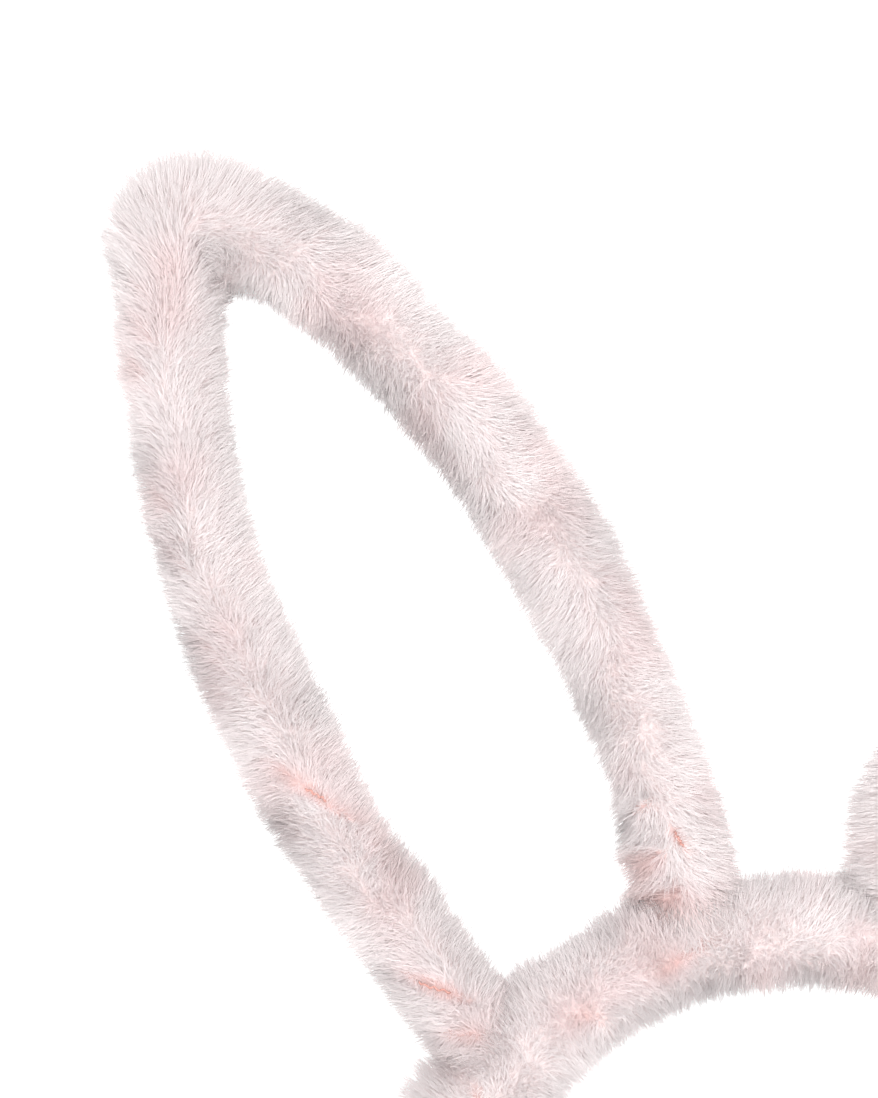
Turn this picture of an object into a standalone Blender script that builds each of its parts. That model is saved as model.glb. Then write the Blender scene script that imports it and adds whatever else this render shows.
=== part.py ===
"""Animal ears headband: a sprung band and two wired loop ears, all sleeved in plush fur.

The band is a flat spring-steel strip, wrapped in foam cord and covered by a fur sleeve. Each ear
is one loop of wire in its own foam cord and fur sleeve, with both of its ends lashed to the strip.
The legs of the band flex about LEG_HINGE_ANGLE, each ear tilts about the line through its two
feet, and the top of each ear folds about a parallel line across both limbs.

Metres, +Z up, the wearer's face towards -Y. The origin is the underside of the crown, where the
headband sits on the head.
"""

import math

import bmesh
import bpy
from mathutils import Matrix, Vector

MM = 0.001
GAP = 0.3 * MM

# the band: a half circle over the head, then legs that close in a little
BAND_RADIUS = 71 * MM
BAND_FUR_RADIUS = 11 * MM
BAND_FUR_BORE = 7.6 * MM
BAND_PADDING_RADIUS = 7.2 * MM
BAND_PADDING_BORE = 5.4 * MM
LEG_BOW_RADIUS = 220 * MM
LEG_LENGTH = 66 * MM
CORE_WIDTH = 6 * MM
CORE_THICKNESS = 1.6 * MM
CENTRE_HEIGHT = -(BAND_RADIUS - BAND_FUR_RADIUS)
QUARTER = BAND_RADIUS * math.pi / 2
LEG_END = QUARTER + LEG_LENGTH

# the flex of the legs
LEG_HINGE_ANGLE = math.radians(62)
LEG_OPENING = math.radians(14)
LEG_CLOSING = math.radians(4)

# the ends of the legs
CAP_LENGTH = 8.5 * MM
CAP_WIDTH = 8 * MM
CAP_THICKNESS = 3.8 * MM
CAP_FLOOR = 1.4 * MM
CAP_ROUNDING = 0.8 * MM
CAP_INSET = 2 * MM
PATCH_RADIUS = 9.6 * MM
PATCH_THICKNESS = 1.2 * MM

# each ear: two limbs from feet on the band to one tip, drawn as seen from the front on the +X side
FOOT_ANGLES = {"outer": math.radians(51), "inner": math.radians(15.5)}
TIP = (119 * MM, 206 * MM)
LIMB_HANDLES = {
    "outer": ((85.9 * MM, 80.8 * MM), (126.4 * MM, 135 * MM)),
    "inner": ((29.7 * MM, 146 * MM), (97.7 * MM, 216.1 * MM)),
}
EAR_FUR_RADIUS = 10 * MM
EAR_FUR_BORE = 5.6 * MM
EAR_PADDING_RADIUS = 5.2 * MM
EAR_PADDING_BORE = 1.4 * MM
WIRE_RADIUS = 1 * MM
TIP_FUR_RADIUS = 13 * MM
TIP_FUR_BORE = 6.2 * MM
TIP_PADDING_RADIUS = 5.7 * MM
TIP_WIRE_BEND = 7 * MM

# how far each ear tilts at its feet, and folds across its middle
FOLD_HEIGHT = 78 * MM
FOLD_FORWARD = math.radians(60)
FOLD_BACKWARD = math.radians(30)
ROOT_CLEARANCE = 0.5 * MM
HIGHEST_FOLD_SHARE = 0.7
FOLD_SEARCH_STEPS = 40

# the wire's ends on the band
FOOT_LENGTH = 15 * MM
FOOT_STATIONS = 3
FOOT_BEND = 4 * MM
FOOT_TOP = 10.6 * MM
FOOT_HOLE_RADIUS = 1.6 * MM
FOOT_HOLE_START = 2 * MM
FOOT_HOLE_END = BAND_FUR_RADIUS + 4 * MM
LASHING_DISTANCE = 8.5 * MM
LASHING_LENGTH = 6 * MM
TAPE_FIT = 0.4 * MM
TAPE_THICKNESS = 0.7 * MM

# reliefs at the hinges, and how far pieces are drawn past a cut before it is made
RELIEF_MARGIN = math.radians(1)
RELIEF_REACH = 15 * MM
RELIEF_DEPTH = 14 * MM
OVERSHOOT = 6 * MM

SMOOTH_ANGLE = math.radians(40)
WELD_DISTANCE = 0.01 * MM
PIVOT_MARK = 10 * MM
STATION_SPACING = 13 * MM
FUR_SIDES = 12
BORE_SIDES = 8
BEND_STEPS = 6
ARC_STEPS = 24
TURNED_SIDES = 32
# the facets are turned off the planes of symmetry, and the two limbs' apart from each other's, so
# that no edge lies in the plane of a cut
FACET_TURN = math.radians(5)
INNER_LIMB_TURN = math.radians(9)

FRONT = Vector((0, -1, 0))
SIDES = {"left": -1, "right": 1}

MATERIALS = {
    "plush_fur": ((0.93, 0.76, 0.76), 0.95, 0.0),
    "foam_cord": ((0.93, 0.9, 0.86), 0.9, 0.0),
    "spring_steel": ((0.5, 0.5, 0.52), 0.35, 1.0),
    "ear_wire": ((0.75, 0.75, 0.77), 0.3, 1.0),
    "lashing_tape": ((0.88, 0.86, 0.82), 0.7, 0.0),
    "cap_plastic": ((0.9, 0.82, 0.8), 0.5, 0.0),
    "fur_backing": ((0.9, 0.72, 0.72), 0.85, 0.0),
}


def clear_scene():
    for old in list(bpy.data.objects):
        bpy.data.objects.remove(old, do_unlink=True)


def new_collection(name):
    collection = bpy.data.collections.new(name)
    bpy.context.scene.collection.children.link(collection)
    return collection


def new_material(node_name, look):
    """The material of one sub-part, in one of the looks named above."""
    colour, roughness, metallic = MATERIALS[look]
    material = bpy.data.materials.new(node_name + "_" + look)
    material.use_nodes = True
    shader = material.node_tree.nodes["Principled BSDF"]
    shader.inputs["Base Color"].default_value = (*colour, 1)
    shader.inputs["Roughness"].default_value = roughness
    shader.inputs["Metallic"].default_value = metallic
    material.diffuse_color = (*colour, 1)
    return material


def frame(origin, y_axis, z_axis):
    """The placement at origin whose Y and Z axes are the two given, at right angles."""
    x_axis = y_axis.cross(z_axis)
    placed = Matrix((x_axis, y_axis, z_axis)).transposed().to_4x4()
    placed.translation = origin
    return placed


def add_object(name, mesh, collection):
    made = bpy.data.objects.new(name, mesh)
    collection.objects.link(made)
    return made


def hide_cutter(cutter):
    cutter.hide_render = True
    cutter.display_type = "WIRE"
    return cutter


def solid_from_curve(drawn, collection):
    """The curve object as one welded mesh object, in the same place and under the same name."""
    bpy.context.view_layer.update()
    evaluated = drawn.evaluated_get(bpy.context.evaluated_depsgraph_get())
    mesh = bpy.data.meshes.new_from_object(evaluated)
    name = drawn.name
    place = drawn.matrix_world.copy()
    bpy.data.objects.remove(drawn, do_unlink=True)
    mesh.name = name
    shape = bmesh.new()
    shape.from_mesh(mesh)
    bmesh.ops.remove_doubles(shape, verts=shape.verts, dist=WELD_DISTANCE)
    bmesh.ops.recalc_face_normals(shape, faces=shape.faces)
    bmesh.ops.triangulate(shape, faces=shape.faces)
    shape.to_mesh(mesh)
    shape.free()
    made = add_object(name, mesh, collection)
    made.matrix_world = place
    return made


def tube(name, points, radius, sides, collection, turn=FACET_TURN):
    """A round solid of the given radius along a line of points, its facets turned about it."""
    curve = bpy.data.curves.new(name, "CURVE")
    curve.dimensions = "3D"
    curve.bevel_depth = radius
    curve.bevel_resolution = (sides - 4) // 2
    curve.use_fill_caps = True
    curve.render_resolution_u = 0
    spline = curve.splines.new("POLY")
    spline.points.add(len(points) - 1)
    for spot, point in zip(spline.points, points):
        spot.co = (*point, 1)
        spot.tilt = turn
    made = solid_from_curve(add_object(name, curve, collection), collection)
    made.data.shade_smooth()
    made.data.set_sharp_from_angle(angle=SMOOTH_ANGLE)
    return made


def flat_solid(name, outlines, thickness, place, collection):
    """Closed outlines in the local XY plane, the inner ones as holes, thickened along local Z."""
    curve = bpy.data.curves.new(name, "CURVE")
    curve.dimensions = "2D"
    curve.fill_mode = "BOTH"
    curve.extrude = thickness / 2
    curve.render_resolution_u = 0
    for outline in outlines:
        spline = curve.splines.new("POLY")
        spline.points.add(len(outline) - 1)
        for spot, (x, y) in zip(spline.points, outline):
            spot.co = (x, y, 0, 1)
        spline.use_cyclic_u = True
    drawn = add_object(name, curve, collection)
    drawn.matrix_world = place
    return solid_from_curve(drawn, collection)


def box(name, size, place, collection):
    mesh = bpy.data.meshes.new(name)
    shape = bmesh.new()
    bmesh.ops.create_cube(shape, size=1, matrix=Matrix.Diagonal((*size, 1)))
    shape.to_mesh(mesh)
    shape.free()
    made = add_object(name, mesh, collection)
    made.matrix_world = place
    return made


def ball(name, centre, radius, segments, collection):
    mesh = bpy.data.meshes.new(name)
    shape = bmesh.new()
    bmesh.ops.create_uvsphere(
        shape, u_segments=segments, v_segments=segments // 2, radius=radius
    )
    shape.to_mesh(mesh)
    shape.free()
    made = add_object(name, mesh, collection)
    made.location = centre
    return made


def join(target, others):
    """One live union for each of the other solids."""
    for other in others:
        step = target.modifiers.new(other.name, "BOOLEAN")
        step.operation = "UNION"
        step.solver = "EXACT"
        step.object = other
    return target


def cut(target, cutters):
    """Takes all of the cutters away in one live step, through a collection that holds them."""
    group = bpy.data.collections.new(target.name + "_cuts")
    for cutter in cutters:
        group.objects.link(cutter)
    step = target.modifiers.new("cuts", "BOOLEAN")
    step.operation = "DIFFERENCE"
    step.solver = "EXACT"
    step.operand_type = "COLLECTION"
    step.collection = group
    return target


def finish(node, look, parent=None):
    """Gives a sub-part its material, and hangs it on the pivot that carries it."""
    node.data.materials.clear()
    node.data.materials.append(new_material(node.name, look))
    if parent:
        node.parent = parent
        node.matrix_parent_inverse = parent.matrix_world.inverted()
    return node


def add_pivot(name, place, collection, parent=None):
    pivot = add_object(name, None, collection)
    pivot.empty_display_size = PIVOT_MARK
    pivot.matrix_world = place
    bpy.context.view_layer.update()
    if parent:
        pivot.parent = parent
        pivot.matrix_parent_inverse = parent.matrix_world.inverted()
        bpy.context.view_layer.update()
    return pivot


def hinge_relief(name, pivot, across, along, angles, half_length, collection):
    """A cutter that leaves a piece only beyond a hinge, on its along side.

    The face that it leaves is a ridge on the hinge's axis. Its two flanks fall back by the two
    angles, first on the across side and then on the other, so that two such pieces can swing.
    """
    rise = [math.tan(angle) * RELIEF_REACH + GAP for angle in angles]
    outline = [
        (-RELIEF_REACH, -RELIEF_DEPTH),
        (RELIEF_REACH, -RELIEF_DEPTH),
        (RELIEF_REACH, rise[0]),
        (0, GAP),
        (-RELIEF_REACH, rise[1]),
    ]
    place = frame(pivot, along, across.cross(along))
    cutter = flat_solid(name, [outline], 2 * half_length, place, collection)
    return hide_cutter(cutter)


# --- the band -----------------------------------------------------------------------------------


def band_place(distance, offset=0.0):
    """A point on the band, its direction away from the crown, and its outward direction.

    distance runs along the band from the top of the crown, to +X, or to -X where it is negative.
    """
    side = math.copysign(1, distance)
    if abs(distance) < QUARTER:
        turn = abs(distance) / BAND_RADIUS
        centre_x, radius = 0, BAND_RADIUS + offset
    else:
        bow = (abs(distance) - QUARTER) / LEG_BOW_RADIUS
        turn = math.pi / 2 + bow
        centre_x, radius = BAND_RADIUS - LEG_BOW_RADIUS, LEG_BOW_RADIUS + offset
    outward = Vector((side * math.sin(turn), 0, math.cos(turn)))
    onward = Vector((side * math.cos(turn), 0, -math.sin(turn)))
    middle = Vector((side * centre_x, 0, CENTRE_HEIGHT))
    return middle + outward * radius, onward, outward


def band_line(start, end, offset=0.0):
    """Evenly spaced points along the band."""
    steps = max(2, round(abs(end - start) / STATION_SPACING))
    stretch = (end - start) / steps
    return [band_place(start + stretch * n, offset)[0] for n in range(steps + 1)]


def lengthened(points, extra=OVERSHOOT):
    """The same line, carried straight on past both of its ends."""
    first = points[0] + (points[0] - points[1]).normalized() * extra
    last = points[-1] + (points[-1] - points[-2]).normalized() * extra
    return [first, *points, last]


def strip(name, start, end, collection):
    """A length of the flat steel core, standing on edge in the plane of the band."""
    outer = band_line(start, end, CORE_THICKNESS / 2)
    inner = band_line(start, end, -CORE_THICKNESS / 2)
    outline = [(point.x, point.z) for point in outer + inner[::-1]]
    upright = Matrix.Rotation(math.pi / 2, 4, "X")
    return flat_solid(name, [outline], CORE_WIDTH, upright, collection)


def sleeve(name, points, radius, bore, sides, cuts, parts, cutters):
    """A tube of fur or foam along a line, with a bore for what it covers and the cuts given."""
    made = tube(name, points, radius, sides, parts)
    hole = tube(name + "_bore", lengthened(points), bore, BORE_SIDES, cutters)
    return cut(made, [hide_cutter(hole), *cuts])


def leg_relief(side_name, keep, cutters):
    """The cutter at one leg's hinge that keeps either the crown or the leg."""
    hinge = SIDES[side_name] * LEG_HINGE_ANGLE * BAND_RADIUS
    pivot, onward, outward = band_place(hinge)
    along = onward if keep == "leg" else -onward
    angles = [LEG_OPENING / 2 + RELIEF_MARGIN, LEG_CLOSING / 2 + RELIEF_MARGIN]
    name = f"{keep}_side_relief_{side_name}"
    return hinge_relief(name, pivot, outward, along, angles, RELIEF_REACH, cutters)


def make_band_sleeves(stretch, line, cuts, pivot, parts, cutters):
    """The foam cord and the fur over one stretch of the core."""
    padding = sleeve(
        f"band_padding_{stretch}",
        line,
        BAND_PADDING_RADIUS,
        BAND_PADDING_BORE,
        BORE_SIDES,
        cuts,
        parts,
        cutters,
    )
    finish(padding, "foam_cord", pivot)
    fur = sleeve(
        f"band_fur_{stretch}",
        line,
        BAND_FUR_RADIUS,
        BAND_FUR_BORE,
        FUR_SIDES,
        cuts,
        parts,
        cutters,
    )
    finish(fur, "plush_fur", pivot)


def make_crown(foot_holes, parts, cutters):
    """The middle of the band, between the two legs' hinges."""
    reach = LEG_HINGE_ANGLE * BAND_RADIUS + OVERSHOOT
    reliefs = [leg_relief(side_name, "crown", cutters) for side_name in SIDES]
    core = strip("band_core_crown", -reach, reach, parts)
    finish(cut(core, reliefs), "spring_steel")
    make_band_sleeves("crown", band_line(-reach, reach), foot_holes + reliefs, None, parts, cutters)


def make_cap(side_name, pivot, parts, cutters):
    """The plastic cap that is pushed over the end of the steel core."""
    side = SIDES[side_name]
    middle, onward, outward = band_place(side * (LEG_END - CAP_LENGTH / 2 - CAP_INSET))
    place = frame(middle, outward, -onward)
    cap = box(
        f"band_tip_cap_{side_name}", (CAP_WIDTH, CAP_THICKNESS, CAP_LENGTH), place, parts
    )
    rounding = cap.modifiers.new("rounding", "BEVEL")
    rounding.width = CAP_ROUNDING
    rounding.segments = 2
    pocket_size = (CORE_WIDTH + 2 * GAP, CORE_THICKNESS + 2 * GAP, CAP_LENGTH)
    raised = place @ Matrix.Translation((0, 0, CAP_FLOOR))
    pocket = box(f"band_tip_cap_pocket_{side_name}", pocket_size, raised, cutters)
    finish(cut(cap, [hide_cutter(pocket)]), "cap_plastic", pivot)


def make_leg(side_name, parts, cutters):
    """One leg of the band, from its hinge down to the sewn end behind the wearer's ear."""
    side = SIDES[side_name]
    hinge = LEG_HINGE_ANGLE * BAND_RADIUS
    centre, _, outward = band_place(side * hinge)
    pivot = add_pivot(f"leg_{side_name}_pivot", frame(centre, outward, FRONT), parts)
    reliefs = [leg_relief(side_name, "leg", cutters)]

    core_end = LEG_END - CAP_INSET - CAP_FLOOR - GAP
    core = strip(
        f"band_core_leg_{side_name}", side * (hinge - OVERSHOOT), side * core_end, parts
    )
    finish(cut(core, reliefs), "spring_steel", pivot)
    line = band_line(side * (hinge - OVERSHOOT), side * LEG_END)
    make_band_sleeves(f"leg_{side_name}", line, reliefs, pivot, parts, cutters)

    make_cap(side_name, pivot, parts, cutters)
    end, onward, _ = band_place(side * LEG_END)
    ends = [end + onward * GAP, end + onward * (GAP + PATCH_THICKNESS)]
    patch = tube(
        f"band_end_patch_{side_name}", ends, PATCH_RADIUS, FUR_SIDES, parts
    )
    finish(patch, "fur_backing", pivot)


# --- the ears -----------------------------------------------------------------------------------


def foot_place(side, angle):
    """A foot of the ear on the band's centreline, with the band's outward direction there."""
    outward = Vector((side * math.sin(angle), 0, math.cos(angle)))
    return Vector((0, 0, CENTRE_HEIGHT)) + outward * BAND_RADIUS


def limb_curve(side, limb):
    """The four control points of one limb's centreline, from its foot to the tip of the ear."""
    drawn = [
        Vector((side * x, 0, CENTRE_HEIGHT + height)) for x, height in (*LIMB_HANDLES[limb], TIP)
    ]
    return [foot_place(side, FOOT_ANGLES[limb]), *drawn]


def limb_point(controls, share):
    """The point at a share of the way along a cubic curve."""
    rest = 1 - share
    weights = (rest**3, 3 * rest**2 * share, 3 * rest * share**2, share**3)
    return sum((weight * point for weight, point in zip(weights, controls)), Vector())


def rounded_corner(start, corner, end):
    """Points round a bend that leaves start towards the corner and arrives at end from it."""
    bend = []
    for n in range(BEND_STEPS + 1):
        share = n / BEND_STEPS
        near = start.lerp(corner, share)
        far = corner.lerp(end, share)
        bend.append(near.lerp(far, share))
    return bend


def limb_line(controls, start, end):
    """Points along a limb between two shares of its curve."""
    rough = [limb_point(controls, n / BEND_STEPS) for n in range(BEND_STEPS + 1)]
    length = sum((after - before).length for before, after in zip(rough, rough[1:]))
    steps = max(3, round(length * (end - start) / STATION_SPACING))
    return [limb_point(controls, start + (end - start) * n / steps) for n in range(steps + 1)]


class EarPlan:
    """The lines and axes that one ear's pieces share."""

    def __init__(self, side_name):
        self.name = side_name
        self.side = SIDES[side_name]
        self.limbs = {limb: limb_curve(self.side, limb) for limb in ("outer", "inner")}
        outer_foot, inner_foot = self.limbs["outer"][0], self.limbs["inner"][0]
        self.root = (outer_foot + inner_foot) / 2
        spread = (outer_foot - inner_foot).normalized()
        self.half_chord = (outer_foot - inner_foot).length / 2
        self.up = Vector((-spread.z, 0, spread.x)) * self.side
        self.axis = self.up.cross(FRONT)
        self.shares = {limb: self.share_at(limb, FOLD_HEIGHT) for limb in self.limbs}
        crossings = [limb_point(self.limbs[limb], self.shares[limb]) for limb in self.limbs]
        self.fold = (crossings[0] + crossings[1]) / 2
        self.fold_half_length = (crossings[0] - crossings[1]).length / 2 + RELIEF_REACH

    def share_at(self, limb, height):
        """How far along a limb it first reaches a height above the line through the feet."""
        low, high = 0.0, HIGHEST_FOLD_SHARE
        for _ in range(FOLD_SEARCH_STEPS):
            middle = (low + high) / 2
            risen = (limb_point(self.limbs[limb], middle) - self.root).dot(self.up)
            low, high = (middle, high) if risen < height else (low, middle)
        return low

    def limb_stretch(self, limb, half):
        """One limb's line from its foot to the fold, or from the fold to the tip."""
        controls = self.limbs[limb]
        length = (controls[3] - controls[0]).length
        past = OVERSHOOT / length
        share = self.shares[limb]
        if half == "lower":
            return limb_line(controls, 0, share + past)
        return limb_line(controls, share - past, 1)


def fold_relief(plan, half, cutters):
    along = plan.up if half == "upper" else -plan.up
    angles = [FOLD_FORWARD / 2 + RELIEF_MARGIN, FOLD_BACKWARD / 2 + RELIEF_MARGIN]
    return hinge_relief(
        f"{plan.name}_ear_{half}_fold_relief",
        plan.fold,
        FRONT,
        along,
        angles,
        plan.fold_half_length,
        cutters,
    )


def root_relief(plan, cutters):
    """A turned cutter round the tilt axis, which clears the band at every angle of tilt.

    Its outline is the band's own outer arc over the line through the feet, and never less than
    the thickness of the band's fur.
    """
    reach = plan.half_chord + RELIEF_REACH
    chord_depth = math.sqrt(BAND_RADIUS**2 - plan.half_chord**2)
    arc_radius = BAND_RADIUS + BAND_FUR_RADIUS + ROOT_CLEARANCE
    profile = [Vector((0, 0, reach))]
    for n in range(ARC_STEPS + 1):
        along = reach - 2 * reach * n / ARC_STEPS
        arc = math.sqrt(arc_radius**2 - along**2) - chord_depth
        profile.append(Vector((max(arc, BAND_FUR_RADIUS + ROOT_CLEARANCE), 0, along)))
    profile.append(Vector((0, 0, -reach)))
    mesh = bpy.data.meshes.new(f"{plan.name}_ear_root_relief")
    shape = bmesh.new()
    spots = [shape.verts.new(point) for point in profile]
    for first, second in zip(spots, spots[1:]):
        shape.edges.new((first, second))
    shape.to_mesh(mesh)
    shape.free()
    cutter = add_object(mesh.name, mesh, cutters)
    cutter.matrix_world = frame(plan.root, plan.up, plan.axis)
    turn = cutter.modifiers.new("turn", "SCREW")
    turn.axis = "Z"
    turn.angle = 2 * math.pi
    turn.steps = TURNED_SIDES
    turn.render_steps = TURNED_SIDES
    turn.use_merge_vertices = True
    turn.merge_threshold = WELD_DISTANCE
    return hide_cutter(cutter)


def make_lower_limb(plan, limb, pivot, reliefs, parts, cutters):
    """The wire, foam cord and fur of one limb below the fold."""
    stem = f"{plan.name}_ear_{{}}_{limb}_lower"
    line = plan.limb_stretch(limb, "lower")
    wire = tube(stem.format("wire"), line, WIRE_RADIUS, BORE_SIDES, parts)
    finish(cut(wire, reliefs), "ear_wire", pivot)
    padding = sleeve(
        stem.format("padding"),
        line,
        EAR_PADDING_RADIUS,
        EAR_PADDING_BORE,
        BORE_SIDES,
        reliefs,
        parts,
        cutters,
    )
    finish(padding, "foam_cord", pivot)
    fur = sleeve(
        stem.format("fur"),
        line,
        EAR_FUR_RADIUS,
        EAR_FUR_BORE,
        FUR_SIDES,
        reliefs,
        parts,
        cutters,
    )
    finish(fur, "plush_fur", pivot)


def round_the_tip(outer, inner):
    """One line up the outer limb and down the inner one, rounded where they meet at the tip."""
    tip = outer[-1]
    rising = [point for point in outer if (point - tip).length > TIP_WIRE_BEND]
    falling = [point for point in inner[::-1] if (point - tip).length > TIP_WIRE_BEND]
    start = tip + (rising[-1] - tip).normalized() * TIP_WIRE_BEND
    end = tip + (falling[0] - tip).normalized() * TIP_WIRE_BEND
    return rising + rounded_corner(start, tip, end) + falling


def tip_solid(name, plan, radius, tip_radius, sides, collection, cutters):
    """Both limbs above the fold and the ball where they meet, as one solid."""
    lines = {limb: plan.limb_stretch(limb, "upper") for limb in plan.limbs}
    made = tube(name, lines["outer"], radius, sides, collection)
    inner = tube(
        name + "_inner_limb", lines["inner"], radius, sides, cutters, INNER_LIMB_TURN
    )
    tip = ball(name + "_tip", lines["outer"][-1], tip_radius, 2 * BORE_SIDES, cutters)
    return join(made, [hide_cutter(inner), hide_cutter(tip)])


def make_upper_ear(plan, pivot, parts, cutters):
    """The loop above the fold: the wire round the tip, its foam cord and its fur."""
    reliefs = [fold_relief(plan, "upper", cutters)]
    stem = f"{plan.name}_ear_{{}}_upper"
    lines = {limb: plan.limb_stretch(limb, "upper") for limb in plan.limbs}
    loop = round_the_tip(lines["outer"], lines["inner"])
    wire = tube(stem.format("wire"), loop, WIRE_RADIUS, BORE_SIDES, parts)
    finish(cut(wire, reliefs), "ear_wire", pivot)

    padding = tip_solid(
        stem.format("padding"),
        plan,
        EAR_PADDING_RADIUS,
        TIP_PADDING_RADIUS,
        BORE_SIDES,
        parts,
        cutters,
    )
    wire_bore = tube(
        stem.format("padding_bore"), lengthened(loop), EAR_PADDING_BORE, BORE_SIDES, cutters
    )
    finish(cut(padding, [hide_cutter(wire_bore), *reliefs]), "foam_cord", pivot)

    fur = tip_solid(
        stem.format("fur"), plan, EAR_FUR_RADIUS, TIP_FUR_RADIUS, FUR_SIDES, parts, cutters
    )
    fur_bore = tip_solid(
        stem.format("fur_bore"), plan, EAR_FUR_BORE, TIP_FUR_BORE, BORE_SIDES, cutters, cutters
    )
    finish(cut(fur, [hide_cutter(fur_bore), *reliefs]), "plush_fur", pivot)


def foot_direction(plan, limb):
    controls = plan.limbs[limb]
    return (controls[1] - controls[0]).normalized()


def foot_hole(plan, limb, cutters):
    """The way out through the band's foam and fur for one end of the ear's wire."""
    foot = plan.limbs[limb][0]
    rise = foot_direction(plan, limb)
    line = [foot + rise * FOOT_HOLE_START, foot + rise * FOOT_HOLE_END]
    name = f"{plan.name}_ear_foot_hole_{limb}"
    return hide_cutter(tube(name, line, FOOT_HOLE_RADIUS, BORE_SIDES, cutters))


def make_foot(plan, limb, parts):
    """One end of the ear's wire: flat along the band's core, then up to the ear, and its lashing."""
    toward_other = {"outer": -1, "inner": 1}[limb]
    seat = CORE_THICKNESS / 2 + GAP + WIRE_RADIUS
    foot = plan.limbs[limb][0]
    rise = foot_direction(plan, limb)
    corner = foot + rise * seat

    def along_core(distance, offset):
        from_crown = FOOT_ANGLES[limb] * BAND_RADIUS + toward_other * distance
        return band_place(plan.side * from_crown, offset)

    reaches = [FOOT_LENGTH * (1 - n / FOOT_STATIONS) for n in range(FOOT_STATIONS - 1)]
    laid = [along_core(reach, seat)[0] for reach in reaches]
    bend = rounded_corner(along_core(FOOT_BEND, seat)[0], corner, corner + rise * FOOT_BEND)
    line = [*laid, *bend, foot + rise * FOOT_TOP]
    wire = tube(f"{plan.name}_ear_wire_foot_{limb}", line, WIRE_RADIUS, BORE_SIDES, parts)
    finish(wire, "ear_wire")

    # the tape's section: snug round the flat core, with the wire lying on its outer face
    half, base = CORE_WIDTH / 2 + TAPE_FIT, -CORE_THICKNESS / 2 - TAPE_FIT
    top, crest = seat + WIRE_RADIUS + GAP, WIRE_RADIUS + TAPE_FIT
    shoulder = CORE_THICKNESS / 2 + GAP
    bore = [
        (-half, base),
        (half, base),
        (half, shoulder),
        (crest, top),
        (-crest, top),
        (-half, shoulder),
    ]
    wrap = [
        (-half - TAPE_THICKNESS, base - TAPE_THICKNESS),
        (half + TAPE_THICKNESS, base - TAPE_THICKNESS),
        (half + TAPE_THICKNESS, shoulder + TAPE_THICKNESS / 2),
        (crest + TAPE_THICKNESS / 2, top + TAPE_THICKNESS),
        (-crest - TAPE_THICKNESS / 2, top + TAPE_THICKNESS),
        (-half - TAPE_THICKNESS, shoulder + TAPE_THICKNESS / 2),
    ]
    middle, onward, outward = along_core(LASHING_DISTANCE, 0)
    place = frame(middle, outward, onward)
    lashing = flat_solid(
        f"{plan.name}_ear_lashing_{limb}", [wrap, bore], LASHING_LENGTH, place, parts
    )
    finish(lashing, "lashing_tape")


def make_ear(plan, parts, cutters):
    """One whole ear on its two pivots."""
    root_pivot = add_pivot(
        f"{plan.name}_ear_root_pivot", frame(plan.root, plan.up, plan.axis), parts
    )
    fold_pivot = add_pivot(
        f"{plan.name}_ear_fold_pivot",
        frame(plan.fold, plan.up, plan.axis),
        parts,
        root_pivot,
    )
    reliefs = [fold_relief(plan, "lower", cutters), root_relief(plan, cutters)]
    for limb in plan.limbs:
        make_foot(plan, limb, parts)
        make_lower_limb(plan, limb, root_pivot, reliefs, parts, cutters)
    make_upper_ear(plan, fold_pivot, parts, cutters)


def main():
    clear_scene()
    parts = new_collection("animal_ears_headband")
    cutters = new_collection("cutters")
    plans = [EarPlan(side_name) for side_name in SIDES]
    foot_holes = [foot_hole(plan, limb, cutters) for plan in plans for limb in plan.limbs]
    make_crown(foot_holes, parts, cutters)
    for side_name in SIDES:
        make_leg(side_name, parts, cutters)
    for plan in plans:
        make_ear(plan, parts, cutters)


main()
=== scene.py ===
"""The looks of the animal ears headband: plush pile on a knitted backing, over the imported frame.

Every sleeve of the headband follows a line in the XZ plane. Its backing is a lumpy tube round that
line, and its pile is a mesh of fine fibres that stand on the backing, lie over one another and
gather in tufts. Metres, in the frame of the CAD model.
"""

import math

import bpy
import numpy as np
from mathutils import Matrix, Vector


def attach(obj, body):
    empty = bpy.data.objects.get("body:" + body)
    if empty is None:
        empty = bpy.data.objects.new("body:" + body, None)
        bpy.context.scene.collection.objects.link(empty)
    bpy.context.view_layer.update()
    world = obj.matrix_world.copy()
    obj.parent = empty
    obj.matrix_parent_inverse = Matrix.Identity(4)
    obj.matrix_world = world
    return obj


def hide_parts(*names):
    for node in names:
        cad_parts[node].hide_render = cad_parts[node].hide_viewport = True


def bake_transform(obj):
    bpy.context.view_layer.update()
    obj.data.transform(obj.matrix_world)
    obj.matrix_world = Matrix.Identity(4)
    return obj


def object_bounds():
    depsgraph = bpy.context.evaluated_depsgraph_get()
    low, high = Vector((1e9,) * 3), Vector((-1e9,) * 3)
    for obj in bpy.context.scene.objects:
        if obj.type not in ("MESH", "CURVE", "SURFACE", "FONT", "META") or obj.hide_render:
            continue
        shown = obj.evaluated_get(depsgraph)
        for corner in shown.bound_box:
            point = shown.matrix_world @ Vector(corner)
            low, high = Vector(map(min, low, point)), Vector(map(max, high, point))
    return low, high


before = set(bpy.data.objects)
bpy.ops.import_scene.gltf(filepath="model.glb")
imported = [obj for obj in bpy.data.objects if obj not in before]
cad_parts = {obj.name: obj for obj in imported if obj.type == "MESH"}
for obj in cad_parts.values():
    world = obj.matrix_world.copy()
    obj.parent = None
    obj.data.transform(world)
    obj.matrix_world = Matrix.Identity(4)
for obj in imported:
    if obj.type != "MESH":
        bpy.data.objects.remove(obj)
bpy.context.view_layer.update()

MM = 0.001
FRONT = np.array([0.0, -1.0, 0.0])

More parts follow.
